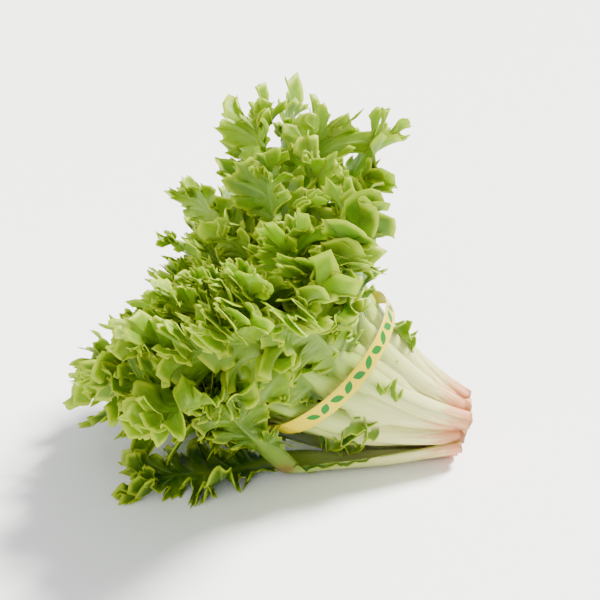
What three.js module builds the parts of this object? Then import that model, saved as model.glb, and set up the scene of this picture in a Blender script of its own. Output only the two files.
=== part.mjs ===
// A cut head of curly endive, lying on a flat surface.
// Leaves grow from a short conical stem in a golden-angle spiral. A printed paper band holds
// their stalks together, beyond the band they spread into a round crown, and a few loose outer
// leaves lie on the surface beneath it. Millimetres, +Z up, cut end towards +X, crown towards -X.
import * as THREE from "three";

// ---- The stem's axis: it rises from the cut end and bends up towards the crown ----
const BUTT_TILT = THREE.MathUtils.degToRad(13);
const CROWN_TILT = THREE.MathUtils.degToRad(42);
const BEND_LENGTH = 118; // along the axis, from the cut face to where it runs straight
const BUTT_HEIGHT = 23.5; // of the cut face's centre above the surface

// ---- Stem ----
const CORE_LENGTH = 60;
const CORE_RADIUS_BUTT = 15.5;
const CORE_RADIUS_TIP = 3;
const CLEARANCE = 0.4; // between pieces that touch

// ---- Band ----
const BAND_STATION = 97; // along the axis
const BAND_SKEW = 9; // how much nearer the cut end it sits on top
const BAND_RADIUS = 53.5;
const BAND_WIDTH = 12.7;
const BAND_THICKNESS = 0.6;
const BAND_SLOPE = THREE.MathUtils.degToRad(17); // how far its face leans out towards the crown

// ---- Leaves that the band holds, from the outermost (rank 1) to the heart (rank 0) ----
const LEAF_COUNT = 50;
const GOLDEN_ANGLE = Math.PI * (3 - Math.sqrt(5));
const FIRST_AZIMUTH = THREE.MathUtils.degToRad(62);
const OUTER_STALK_AT_BAND = 49.5; // distance of the outermost stalk from the axis at the band
const HEART_STALK_AT_BAND = 5;
const TOP_AZIMUTH = THREE.MathUtils.degToRad(18); // where the leaves are shortest and bend most
const TOP_BEND = THREE.MathUtils.degToRad(8);
const TOP_SHORTER = 0.3;
const TALL_AZIMUTH = THREE.MathUtils.degToRad(-48); // where the longest leaves stand up
const TALL_LONGER = 0.24;
const TALL_UPRIGHT = THREE.MathUtils.degToRad(16);
const MOST_WRAP = 1.3; // radians of azimuth that a leaf covers to either side of its midrib
const STEP = 2; // of the walk along a leaf's midrib
const STATIONS = 13;

const lerp = THREE.MathUtils.lerp;
const clamp = THREE.MathUtils.clamp;
const smoothstep = (x) => THREE.MathUtils.smoothstep(x, 0, 1);
const softMin = (a, b, k = 8) => Math.pow(Math.pow(a, -k) + Math.pow(b, -k), -1 / k);

// A repeatable value from 0 to 1 for leaf i, so that no two leaves are alike.
const vary = (i, salt) => {
  const x = Math.sin(i * 12.9898 + salt * 78.233) * 43758.5453;
  return x - Math.floor(x);
};

// An angle brought into the range -180 to 180 degrees.
const wrap = (psi) => psi - 2 * Math.PI * Math.round(psi / (2 * Math.PI));

// The axis point and its tilt at a distance w from the cut face.
function axisAt(w) {
  const radius = BEND_LENGTH / (CROWN_TILT - BUTT_TILT);
  const bent = clamp(w, 0, BEND_LENGTH);
  const tilt = BUTT_TILT + bent / radius;
  const past = w - bent;
  const x = -radius * (Math.sin(tilt) - Math.sin(BUTT_TILT)) - past * Math.cos(tilt);
  const z = BUTT_HEIGHT + radius * (Math.cos(BUTT_TILT) - Math.cos(tilt)) + past * Math.sin(tilt);
  return { x, z, tilt };
}

// The direction made of a part along the axis and a part away from it, at azimuth psi.
// Azimuth 0 is the top of the head, and 90 degrees its -Y side.
function headDirection(tilt, along, away, psi) {
  const up = away * Math.cos(psi);
  return new THREE.Vector3(
    -along * Math.cos(tilt) + up * Math.sin(tilt),
    -away * Math.sin(psi),
    along * Math.sin(tilt) + up * Math.cos(tilt),
  );
}

function headPoint(w, rho, psi) {
  const { x, z, tilt } = axisAt(w);
  return headDirection(tilt, 0, rho, psi).add(new THREE.Vector3(x, 0, z));
}

const coreRadius = (w) => lerp(CORE_RADIUS_BUTT, CORE_RADIUS_TIP, clamp(w / CORE_LENGTH, 0, 1));

// How far from the axis the outermost leaf points at its tip: it is held low by the surface
// beneath, gathered in on the -Y side and bent right over on top.
function flareLimit(psi) {
  const droop = THREE.MathUtils.degToRad(9);
  const surface = Math.atan2(Math.sin(CROWN_TILT), -Math.cos(psi) * Math.cos(CROWN_TILT)) + droop;
  const front = Math.max(0, Math.sin(psi));
  const free = THREE.MathUtils.degToRad(lerp(98, 66, front * front));
  const upright = Math.pow(Math.max(0, Math.cos(psi - TALL_AZIMUTH)), 4) * TALL_UPRIGHT;
  return softMin(surface, free) + TOP_BEND * topShare(psi) - upright;
}

// 1 on top of the head, a little towards -Y, and 0 well away from there.
const topShare = (psi) => Math.pow(Math.max(0, Math.cos((psi - TOP_AZIMUTH) * 0.8)), 6);

// ---- A leaf's outline ----
// Half width at a distance s from its base: a stalk that widens slowly, then a blade past `neck`.
function halfWidth(leaf, s) {
  const stalk = leaf.stalkWidth * lerp(0.68, 1, smoothstep(s / leaf.neck));
  if (s <= leaf.neck) return stalk;
  const u = (s - leaf.neck) / (leaf.length - leaf.neck);
  const blade = leaf.bladeWidth * Math.pow(Math.sin(Math.PI * Math.pow(u, 0.72)), 0.75);
  return stalk * (1 - u) + blade + 1.5;
}

// Full thickness as far as `firm`, then thinning to that of the blade.
const stalkThickness = (leaf, s) => {
  const u = clamp((s - leaf.firm) / (leaf.length - leaf.firm), 0, 1);
  return lerp(leaf.stalkThickness, leaf.bladeThickness, smoothstep(u * 1.5));
};

// A closed solid from stations, each with across(x), which gives the point and the outward normal
// at a distance x from the midrib, the half width there, the thickness at the rib and in the
// blade, and whether the outer face is flat.
function leafGeometry(stations) {
  const SHARES = [-1, -0.5, 0, 0.5, 1]; // of the half width
  const OUTER_SHARE = 0.7; // of the thickness that lies on the outer side of the midrib
  const SHOULDER = 0.35; // how much of the rib's extra thickness is left half way to the edge
  const positions = [];
  for (const { across, half, rib, blade, flat } of stations) {
    const rows = SHARES.map((share) => across(share * half));
    const shoulder = flat ? rib : lerp(blade, rib, SHOULDER);
    const thickness = [0, shoulder, rib, shoulder, 0];
    const place = (k, side) =>
      rows[k].point.clone().addScaledVector(rows[k].normal, side * thickness[k]);
    const inner = [0, 1, 2, 3, 4].map((k) => place(k, -(1 - OUTER_SHARE)));
    const outer = [3, 2, 1].map((k) => place(k, OUTER_SHARE));
    [...inner, ...outer].forEach((p) => positions.push(p.x, p.y, p.z));
  }
  // Both faces are split along the same diagonals, so a twisted blade keeps its thickness.
  const around = 8;
  const index = [];
  for (let i = 0; i + 1 < stations.length; i++) {
    for (let k = 0; k < around; k++) {
      const a = i * around + k;
      const b = i * around + ((k + 1) % around);
      if (k < around / 2) index.push(a, b, b + around, a, b + around, a + around);
      else index.push(a, b, a + around, b, b + around, a + around);
    }
  }
  const last = (stations.length - 1) * around;
  for (let k = 1; k + 1 < around; k++) {
    index.push(0, k + 1, k);
    index.push(last, last + k, last + k + 1);
  }
  const geometry = new THREE.BufferGeometry();
  geometry.setAttribute("position", new THREE.Float32BufferAttribute(positions, 3));
  geometry.setIndex(index);
  geometry.computeVertexNormals();
  return geometry;
}

// ---- Leaves held by the band ----
function heldLeaf(i) {
  const rank = 1 - i / (LEAF_COUNT - 1);
  const azimuth = wrap(FIRST_AZIMUTH + i * GOLDEN_ANGLE);
  const start = lerp(CORE_LENGTH - 3, 2.5, rank);
  const stalk = lerp(2.0, 3.8, rank);
  const rhoStart = coreRadius(start) + CLEARANCE + 0.5 * stalk;
  const rhoBand = lerp(HEART_STALK_AT_BAND, OUTER_STALK_AT_BAND, rank);
  const neck = (BAND_STATION - start) * 1.04;
  const shorter = 1 - TOP_SHORTER * topShare(azimuth) * rank;
  const longer = 1 + TALL_LONGER * Math.pow(Math.max(0, Math.cos(azimuth - TALL_AZIMUTH)), 8);
  const reach = lerp(105, 138, Math.sqrt(rank)) * lerp(0.9, 1.1, vary(i, 1)) * shorter * longer;
  return {
    rank,
    azimuth,
    start,
    rhoStart,
    slope: Math.atan2(rhoBand - rhoStart, BAND_STATION - start),
    neck,
    firm: 0,
    length: neck + reach,
    stalkWidth: lerp(3.2, 9, rank),
    stalkThickness: stalk,
    bladeWidth: lerp(16, 38, Math.pow(rank, 0.75)) * lerp(0.9, 1.04, vary(i, 2)),
    bladeThickness: 0.6,
  };
}

// Walks up a leaf's shell at azimuth psi to a distance s from the base. Shells of different ranks
// lie inside one another.
function shellAt(leaf, psi, s) {
  const flare = Math.acos(1 - leaf.rank * (1 - Math.cos(flareLimit(psi))));
  const bend = lerp(150, 150 * (1 - TOP_SHORTER), topShare(psi));
  let w = leaf.start;
  let rho = leaf.rhoStart;
  let beta = leaf.slope;
  for (let t = 0; t < s; t += STEP) {
    const stride = Math.min(STEP, s - t);
    beta = lerp(leaf.slope, flare, Math.pow(clamp((t - leaf.neck) / bend, 0, 1), 1.1));
    w += stride * Math.cos(beta);
    rho += stride * Math.sin(beta);
  }
  return { w, rho, beta };
}

function heldStations(leaf) {
  return Array.from({ length: STATIONS }, (_, k) => {
    const s = (k / (STATIONS - 1)) * leaf.length;
    const middle = shellAt(leaf, leaf.azimuth, s).rho;
    return {
      across: (x) => {
        const psi = leaf.azimuth + x / middle;
        const { w, rho, beta } = shellAt(leaf, wrap(psi), s);
        return {
          point: headPoint(w, rho, psi),
          normal: headDirection(axisAt(w).tilt, -Math.sin(beta), Math.cos(beta), psi),
        };
      },
      half: Math.min(halfWidth(leaf, s), MOST_WRAP * middle),
      rib: stalkThickness(leaf, s),
      blade: leaf.bladeThickness,
    };
  });
}

// ---- Loose outer leaves that lie on the surface beneath the bundle ----
// Each starts at an azimuth round the cut end. Knots are [distance along the leaf, pitch above the
// surface, heading towards -Y, roll], in millimetres and degrees.
const LOOSE_START = 3; // along the axis
const LOOSE_RADIUS = 21.8; // of their bases from the axis
const LOOSE_CUP = 0.002; // how fast a blade curves up to either side
const LOOSE_LEAVES = [
  // Its stalk is bent sharply upwards where the band squeezed it.
  {
    azimuth: 122,
    neck: 128,
    length: 205,
    bladeWidth: 19,
    knots: [
      [0, -9, 6, -58],
      [30, -6, 9, -50],
      [60, 0, 10, -42],
      [104, 0, 13, -40],
      [112, 54, 24, -42],
      [150, 52, 28, -44],
      [205, 24, 40, -36],
    ],
  },
  {
    azimuth: 152,
    neck: 112,
    length: 218,
    bladeWidth: 26,
    knots: [
      [0, -4, 5, -28],
      [40, 0, 5, -8],
      [100, 0, 5, 0],
      [122, 0, 18, 0],
      [218, 1, 16, 0],
    ],
  },
  {
    azimuth: 180,
    neck: 104,
    length: 240,
    bladeWidth: 34,
    knots: [
      [0, 0, 0, 0],
      [62, 0, -1, 0],
      [92, 19, -2, 0],
      [190, 10, 0, 16],
      [240, 4, 4, 44],
    ],
  },
  {
    azimuth: 209,
    neck: 104,
    length: 230,
    bladeWidth: 32,
    knots: [
      [0, -4, -4, 29],
      [40, 0, -8, 10],
      [95, 1, -17, 0],
      [230, 4, -26, 0],
    ],
  },
  {
    azimuth: 239,
    neck: 96,
    length: 222,
    bladeWidth: 28,
    knots: [
      [0, -9, -10, 58],
      [36, -3, -26, 24],
      [90, 6, -38, 0],
      [222, 7, -36, -8],
    ],
  },
];

// The pitch, heading and roll of a loose leaf at a distance s, eased between its knots.
function looseAngles(leaf, s) {
  const { knots } = leaf;
  let k = 0;
  while (k + 2 < knots.length && s > knots[k + 1][0]) k++;
  const [from, to] = [knots[k], knots[k + 1]];
  const share = smoothstep((s - from[0]) / (to[0] - from[0]));
  return [1, 2, 3].map((c) => THREE.MathUtils.degToRad(lerp(from[c], to[c], share)));
}

function looseStations(leaf) {
  const root = headPoint(LOOSE_START, LOOSE_RADIUS, THREE.MathUtils.degToRad(leaf.azimuth));
  const spacing = leaf.length / (STATIONS - 1);
  const stations = [];
  const point = root.clone();
  let next = 0;
  for (let s = 0; s <= leaf.length + 0.01; s += 1) {
    const [pitch, heading, roll] = looseAngles(leaf, s);
    const along = new THREE.Vector3(
      -Math.cos(pitch) * Math.cos(heading),
      -Math.cos(pitch) * Math.sin(heading),
      Math.sin(pitch),
    );
    const level = new THREE.Vector3(-Math.sin(heading), Math.cos(heading), 0);
    const up = new THREE.Vector3().crossVectors(level, along);
    const side = level.clone().multiplyScalar(Math.cos(roll)).addScaledVector(up, Math.sin(roll));
    const inner = up.clone().multiplyScalar(Math.cos(roll)).addScaledVector(level, -Math.sin(roll));
    if (s >= next - 0.01) {
      const middle = point.clone();
      const normal = inner.clone().negate();
      const flat = s < leaf.firm;
      const cup = flat ? 0 : LOOSE_CUP;
      stations.push({
        across: (x) => ({
          point: middle.clone().addScaledVector(side, x).addScaledVector(inner, cup * x * x),
          normal,
        }),
        half: halfWidth(leaf, s),
        rib: stalkThickness(leaf, s),
        blade: leaf.bladeThickness,
        flat,
      });
      next += spacing;
    }
    point.add(along);
  }
  return stations;
}

// ---- Stem ----
function coreGeometry() {
  const SIDES = 20;
  const RINGS = 5;
  const positions = [];
  const index = [];
  for (let r = 0; r <= RINGS; r++) {
    const w = (r / RINGS) * CORE_LENGTH;
    for (let k = 0; k < SIDES; k++) {
      const p = headPoint(w, coreRadius(w), (k / SIDES) * 2 * Math.PI);
      positions.push(p.x, p.y, p.z);
    }
  }
  for (let r = 0; r < RINGS; r++) {
    for (let k = 0; k < SIDES; k++) {
      const a = r * SIDES + k;
      const b = r * SIDES + ((k + 1) % SIDES);
      index.push(a, b + SIDES, b, a, a + SIDES, b + SIDES);
    }
  }
  const end = RINGS * SIDES;
  for (let k = 1; k + 1 < SIDES; k++) {
    index.push(0, k, k + 1);
    index.push(end, end + k + 1, end + k);
  }
  const geometry = new THREE.BufferGeometry();
  geometry.setAttribute("position", new THREE.Float32BufferAttribute(positions, 3));
  geometry.setIndex(index);
  geometry.computeVertexNormals();
  return geometry;
}

// ---- Band: a flat strip closed round the stalks ----
function bandGeometry() {
  const SIDES = 40;
  const positions = [];
  const index = [];
  for (let k = 0; k < SIDES; k++) {
    const psi = (k / SIDES) * 2 * Math.PI;
    const middle = BAND_STATION - BAND_SKEW * Math.cos(psi);
    const corner = (along, out) => {
      const shift = along * BAND_WIDTH / 2;
      return headPoint(
        middle + shift * Math.cos(BAND_SLOPE),
        BAND_RADIUS + shift * Math.sin(BAND_SLOPE) + out * BAND_THICKNESS,
        psi,
      );
    };
    for (const p of [corner(-1, 0), corner(1, 0), corner(1, 1), corner(-1, 1)])
      positions.push(p.x, p.y, p.z);
  }
  for (let k = 0; k < SIDES; k++) {
    for (let c = 0; c < 4; c++) {
      const a = k * 4 + c;
      const b = k * 4 + ((c + 1) % 4);
      const aNext = ((k + 1) % SIDES) * 4 + c;
      const bNext = ((k + 1) % SIDES) * 4 + ((c + 1) % 4);
      index.push(a, bNext, b, a, aNext, bNext);
    }
  }
  const geometry = new THREE.BufferGeometry();
  geometry.setAttribute("position", new THREE.Float32BufferAttribute(positions, 3));
  geometry.setIndex(index);
  geometry.computeVertexNormals();
  return geometry;
}

// ---- Assembly ----
const leafMaterial = new THREE.MeshStandardMaterial({ color: 0x86b52a, roughness: 0.55 });
const stemMaterial = new THREE.MeshStandardMaterial({ color: 0xe9e6c4, roughness: 0.5 });
const bandMaterial = new THREE.MeshStandardMaterial({ color: 0xf2cf2c, roughness: 0.45 });

const head = new THREE.Group();
function add(name, geometry, material) {
  const mesh = new THREE.Mesh(geometry, material);
  mesh.name = name;
  head.add(mesh);
}

const TIERS = [
  { name: "outer_leaf", from: 0 },
  { name: "middle_leaf", from: 14 },
  { name: "inner_leaf", from: 28 },
  { name: "heart_leaf", from: 42 },
];
const numbered = (name, n) => `${name}_${String(n).padStart(2, "0")}`;

add("stem_core", coreGeometry(), stemMaterial);
add("paper_band", bandGeometry(), bandMaterial);
for (let i = 0; i < LEAF_COUNT; i++) {
  const tier = TIERS.findLast(({ from }) => i >= from);
  add(numbered(tier.name, i - tier.from + 1), leafGeometry(heldStations(heldLeaf(i))), leafMaterial);
}
LOOSE_LEAVES.forEach((leaf, i) => {
  const stalk = { stalkWidth: 7.2, stalkThickness: 3.2, firm: 0.81 * leaf.neck };
  const whole = { ...stalk, bladeThickness: 0.8, ...leaf };
  add(numbered("loose_leaf", i + 1), leafGeometry(looseStations(whole)), leafMaterial);
});

// The origin is on the surface, under the middle of the whole head.
const bounds = new THREE.Box3().setFromObject(head);
head.position.set(-(bounds.min.x + bounds.max.x) / 2, -(bounds.min.y + bounds.max.y) / 2, -bounds.min.z);
const part = new THREE.Group();
part.add(head);

export default part;
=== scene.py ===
"""A head of curly endive on its side, tied with a printed paper band.

Every leaf is one closed shell: a ribbed stalk, a lobed and toothed blade, and a ruffled margin.
Lengths are in millimetres until a mesh is made, and the frame and the meshes are in metres.
"""

import math
from functools import partial
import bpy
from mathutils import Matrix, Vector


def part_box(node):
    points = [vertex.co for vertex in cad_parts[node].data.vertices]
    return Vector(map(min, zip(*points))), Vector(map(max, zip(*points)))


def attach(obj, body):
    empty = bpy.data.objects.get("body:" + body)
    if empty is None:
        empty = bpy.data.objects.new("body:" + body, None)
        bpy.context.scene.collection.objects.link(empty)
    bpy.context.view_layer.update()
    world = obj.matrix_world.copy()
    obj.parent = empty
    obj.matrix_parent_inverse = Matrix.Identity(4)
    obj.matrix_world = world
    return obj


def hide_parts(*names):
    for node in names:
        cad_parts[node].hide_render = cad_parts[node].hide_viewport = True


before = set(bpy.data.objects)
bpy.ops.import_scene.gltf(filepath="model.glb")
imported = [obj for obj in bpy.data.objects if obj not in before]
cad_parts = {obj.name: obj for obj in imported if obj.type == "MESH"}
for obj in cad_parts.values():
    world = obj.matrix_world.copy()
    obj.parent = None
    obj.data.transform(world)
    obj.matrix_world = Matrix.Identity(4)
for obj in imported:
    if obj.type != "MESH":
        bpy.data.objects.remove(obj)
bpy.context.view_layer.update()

from types import SimpleNamespace

import bpy
import numpy as np
from bpy.props import FloatProperty, FloatVectorProperty, IntProperty, PointerProperty
from bpy.types import Operator, Panel, PropertyGroup
from mathutils import Vector

bl_info = {
    "name": "Curly Endive Head",
    "version": (1, 0, 0),
    "blender": (4, 5, 0),
    "location": "View3D > Sidebar > Endive",
    "description": "Builds a banded head of curly endive around its packed solids",
    "category": "Object",
}

MM = 0.001

# ---- Sizes that the solids share ----
BUTT_TILT = math.radians(13)
CROWN_TILT = math.radians(42)
BEND_LENGTH = 118
BUTT_HEIGHT = 23.5
CORE_LENGTH = 60
CORE_RADIUS_BUTT = 15.5
CORE_RADIUS_TIP = 3
CORE_RINGS = 5
CORE_SIDES = 20
CLEARANCE = 0.4
BAND_STATION = 97
BAND_SKEW = 9
BAND_RADIUS = 53.5
BAND_SLOPE = math.radians(17)
LEAF_COUNT = 50
GOLDEN_ANGLE = math.pi * (3 - math.sqrt(5))
FIRST_AZIMUTH = math.radians(62)
TOP_AZIMUTH = math.radians(18)
TOP_BEND = math.radians(8)
TOP_SHORTER = 0.3
TALL_AZIMUTH = math.radians(-48)
TALL_LONGER = 0.24
TALL_UPRIGHT = math.radians(16)
DROOP = math.radians(9)
SIDE_FLARE = 98  # degrees that the outermost leaf can open
FRONT_FLARE = 66  # and how many at the front
FLARE_LENGTH = 150
STEP = 2.0

# ---- Pairs that run from the innermost heart leaf to the outermost leaf ----
ROOT_STATION = (CORE_LENGTH - 3, 2.5)
ROOT_THICK = (2.0, 3.8)
STALK_AT_BAND = (5, 49.5)
REACH = (105, 138)
STALK_HALF_WIDTH = (4.5, 14.0)
STALK_THICK = (2.2, 5.0)
BLADE_HALF_WIDTH = (16, 38)
BLADE_RAYS = (130, 300)

# ---- The tiers of held leaves, each with the number of its first leaf ----
TIERS = [("outer_leaf", 0), ("middle_leaf", 14), ("inner_leaf", 28), ("heart_leaf", 42)]
OUTERMOST = 0.72  # leaves over this rank have stalks that reach down to the cut
LONG_STALK = 0.6  # leaves over this rank have finely divided stalks
STALK_RAYS = 54
SHORT_STALK_RAYS = 16
DEEPEST_CHANNEL = 8.0

# ---- Loose leaves: knots are [distance along, pitch, heading towards -Y, roll] ----
LOOSE_START = 3
LOOSE_RADIUS = 21.8
LOOSE_CUP = 0.002
LOOSE_WIDER = 1.2
NO_CREASE = -99  # so far before a leaf's base that nothing of it shows
CREASE_WIDTH = 6
LOOSE_COMMON = dict(stalk=10.0, thick=3.4, base=-2.4, tight=0.0, channel=2.5, crease=NO_CREASE)
LOOSE_LEAVES = [
    dict(
        azimuth=122,
        neck=128,
        length=205,
        blade=19,
        crease=112,
        knots=[
            [0, -9, 6, -58],
            [30, -6, 9, -50],
            [60, 0, 10, -42],
            [104, 0, 13, -40],
            [112, 54, 24, -42],
            [150, 52, 28, -44],
            [205, 24, 40, -36],
        ],
    ),
    dict(
        azimuth=152,
        neck=112,
        length=218,
        blade=26,
        knots=[[0, -4, 5, -28], [40, 0, 5, -8], [100, 0, 5, 0], [122, 0, 18, 0], [218, 1, 16, 0]],
    ),
    dict(
        azimuth=180,
        neck=104,
        length=240,
        blade=34,
        knots=[[0, 0, 0, 0], [62, 0, -1, 0], [92, 19, -2, 0], [190, 10, 0, 16], [240, 4, 4, 44]],
    ),
    dict(
        azimuth=209,
        neck=104,
        length=230,
        blade=32,
        knots=[[0, -4, -4, 29], [40, 0, -8, 10], [95, 1, -17, 0], [230, 4, -26, 0]],
    ),
    dict(
        azimuth=239,
        neck=96,
        length=222,
        blade=28,
        knots=[[0, -9, -10, 58], [36, -3, -26, 24], [90, 6, -38, 0], [222, 7, -36, -8]],
    ),
]


# ---- Small maths ----
def lerp(a, b, t):
    """From a to b as t goes from 0 to 1."""
    return a + (b - a) * t


def smooth(t):
    """Rises from 0 to 1 as t does, level at both ends."""
    t = np.clip(t, 0, 1)
    return t * t * (3 - 2 * t)


def wrap(psi):
    """The same angle, within half a turn of zero."""
    return psi - 2 * math.pi * np.round(psi / (2 * math.pi))


def unit(vectors):
    """Each vector at length 1."""
    return vectors / np.linalg.norm(vectors, axis=-1, keepdims=True)


def vary(i, salt):
    """A repeatable value from 0 to 1 for leaf i."""
    x = math.sin(i * 12.9898 + salt * 78.233) * 43758.5453
    return x - math.floor(x)


# ---- The head's own coordinates ----
def axis_at(w):
    """x, z and tilt of the stem's axis at a distance w from the cut face."""
    radius = BEND_LENGTH / (CROWN_TILT - BUTT_TILT)
    bent = np.clip(w, 0, BEND_LENGTH)
    tilt = BUTT_TILT + bent / radius
    past = w - bent
    x = -radius * (np.sin(tilt) - math.sin(BUTT_TILT)) - past * np.cos(tilt)
    z = BUTT_HEIGHT + radius * (math.cos(BUTT_TILT) - np.cos(tilt)) + past * np.sin(tilt)
    return x, z, tilt


def head_direction(tilt, along, away, psi):
    """A part along the axis and a part away from it. Azimuth 0 is the top, 90 degrees the -Y side."""
    tilt, along, away, psi = np.broadcast_arrays(tilt, along, away, psi)
    up = away * np.cos(psi)
    return np.stack(
        [
            -along * np.cos(tilt) + up * np.sin(tilt),
            -away * np.sin(psi),
            along * np.sin(tilt) + up * np.cos(tilt),
        ],
        axis=-1,
    )


def head_point(w, rho, psi):
    """The point at a distance w along the axis and rho away from it, at azimuth psi."""
    x, z, tilt = axis_at(w)
    return head_direction(tilt, 0.0, rho, psi) + np.stack([x, np.zeros_like(x), z], axis=-1)


def core_radius(w):
    """The stem's radius, which narrows from the cut face."""
    return lerp(CORE_RADIUS_BUTT, CORE_RADIUS_TIP, np.clip(w / CORE_LENGTH, 0, 1))


def core_grid(rings, sides):
    """Points on the stem's side, as the solid has them, in rings from the cut face."""
    stations = np.linspace(0, CORE_LENGTH, rings + 1)
    w, psi = np.meshgrid(stations, np.arange(sides) / sides * 2 * math.pi, indexing="ij")
    return head_point(w, core_radius(w), psi)


def frame_offset():
    """From the head's coordinates to the frame's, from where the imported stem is."""
    low = core_grid(CORE_RINGS, CORE_SIDES).reshape(-1, 3).min(0)
    return np.array(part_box("stem_core")[0]) / MM - low


OFFSET = frame_offset()


def top_share(psi):
    """How much an azimuth counts as the top of the head, where leaves are shorter and bend further."""
    return np.maximum(0, np.cos((psi - TOP_AZIMUTH) * 0.8)) ** 6


def tallness(azimuth):
    """How much a leaf at that azimuth is one of the few tall ones, from 0 to 1."""
    return max(0, math.cos(azimuth - TALL_AZIMUTH)) ** 8


def flare_limit(psi):
    """How far the outermost leaf opens at an azimuth: down to the surface, or as far as it can."""
    surface = np.arctan2(math.sin(CROWN_TILT), -np.cos(psi) * math.cos(CROWN_TILT)) + DROOP
    front = np.maximum(0, np.sin(psi))
    free = np.radians(lerp(SIDE_FLARE, FRONT_FLARE, front * front))
    softer = (surface**-8 + free**-8) ** (-1 / 8)
    upright = np.maximum(0, np.cos(psi - TALL_AZIMUTH)) ** 4 * TALL_UPRIGHT
    return softer + TOP_BEND * top_share(psi) - upright


# ---- Where a leaf's surface lies ----
def held_leaf(i):
    """The sizes of the i-th leaf in the spiral, from the outermost."""
    rank = 1 - i / (LEAF_COUNT - 1)
    azimuth = float(wrap(FIRST_AZIMUTH + i * GOLDEN_ANGLE))
    start = lerp(*ROOT_STATION, rank)
    rho_start = float(core_radius(start)) + CLEARANCE + 0.5 * lerp(*ROOT_THICK, rank)
    slope = math.atan2(lerp(*STALK_AT_BAND, rank) - rho_start, BAND_STATION - start)
    neck = (BAND_STATION - start) * 1.04
    shorter = 1 - TOP_SHORTER * float(top_share(azimuth)) * rank
    longer = 1 + TALL_LONGER * tallness(azimuth)
    reach = lerp(*REACH, math.sqrt(rank)) * lerp(0.9, 1.1, vary(i, 1)) * shorter * longer
    outermost = rank > OUTERMOST
    leaf = SimpleNamespace(
        rank=rank,
        azimuth=azimuth,
        start=start,
        rho_start=rho_start,
        slope=slope,
        neck=neck,
        length=neck + reach,
        stalk=lerp(*STALK_HALF_WIDTH, rank),
        thick=lerp(*STALK_THICK, rank),
        blade=lerp(*BLADE_HALF_WIDTH, rank**0.75) * lerp(0.9, 1.04, vary(i, 2)),
        base=-0.88 * start if outermost else 0.0,
        tight=0.6 * (1 - rank) * (STALK_AT_BAND[1] - STALK_AT_BAND[0]) if outermost else 0.0,
        channel=DEEPEST_CHANNEL * float(smooth(rank * 2.5 - 1.2)),
        crease=NO_CREASE,
        tone=vary(i, 19),
    )
    leaf.surface = HeldSurface(leaf)
    return leaf


class HeldSurface:
    """The shell that a held leaf follows, sampled once and then read between its samples."""

    SPREAD = 2.6  # radians to either side of the midrib
    SAMPLES = 73  # across that spread
    BELOW = 12  # how far below the base it can be read
    BEYOND = 44  # and how far past the tip
    SHORT_OF_LAST = 1.001  # keeps a reading between two samples
    SLIMMEST = 3.0  # radius of the thinnest bundle that a leaf is wrapped round

    def __init__(self, leaf):
        self.leaf = leaf
        self.psi = np.linspace(-self.SPREAD, self.SPREAD, self.SAMPLES)
        self.s = np.arange(-self.BELOW, leaf.length + self.BEYOND, STEP)
        around = wrap(leaf.azimuth + self.psi)[None, :]
        flare = np.arccos(1 - leaf.rank * (1 - np.cos(flare_limit(around))))
        bend = lerp(FLARE_LENGTH, FLARE_LENGTH * (1 - TOP_SHORTER), top_share(around))
        share = np.clip((self.s[:, None] - leaf.neck) / bend, 0, 1) ** 1.1
        self.beta = lerp(leaf.slope, flare, share)
        self.w = leaf.start + self.walk(np.cos(self.beta))
        self.rho = leaf.rho_start + self.walk(np.sin(self.beta))

    def walk(self, rate):
        """The sum of a rate along the leaf, counted from its base."""
        total = np.cumsum(rate, axis=0) * STEP
        total = np.vstack([np.zeros((1, rate.shape[1])), total[:-1]])
        at_base = int(round(self.BELOW / STEP))
        return total - total[at_base]

    def read(self, table, s, psi):
        """A sampled table between its samples, s along the leaf and psi round from the midrib."""
        i = np.clip((s - self.s[0]) / STEP, 0, len(self.s) - self.SHORT_OF_LAST)
        share = (psi + self.SPREAD) / (2 * self.SPREAD)
        j = np.clip(share * (self.SAMPLES - 1), 0, self.SAMPLES - self.SHORT_OF_LAST)
        a, b = i.astype(int), j.astype(int)
        u, v = i - a, j - b
        low = table[a, b] * (1 - v) + table[a, b + 1] * v
        high = table[a + 1, b] * (1 - v) + table[a + 1, b + 1] * v
        return low * (1 - u) + high * u

    def radius(self, s):
        """How far the midrib is from the head's axis."""
        return np.maximum(self.read(self.rho, s, np.zeros_like(s)), self.SLIMMEST)

    def place(self, s, x, lift):
        """Points s along the leaf, x to its side and lifted outwards, with the outward direction."""
        psi = x / self.radius(s)
        beta = self.read(self.beta, s, psi)
        w = self.read(self.w, s, psi)
        azimuth = self.leaf.azimuth + psi
        point = head_point(w, self.read(self.rho, s, psi), azimuth)
        out = head_direction(axis_at(w)[2], -np.sin(beta), np.cos(beta), azimuth)
        return point + out * lift[..., None], out


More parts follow.
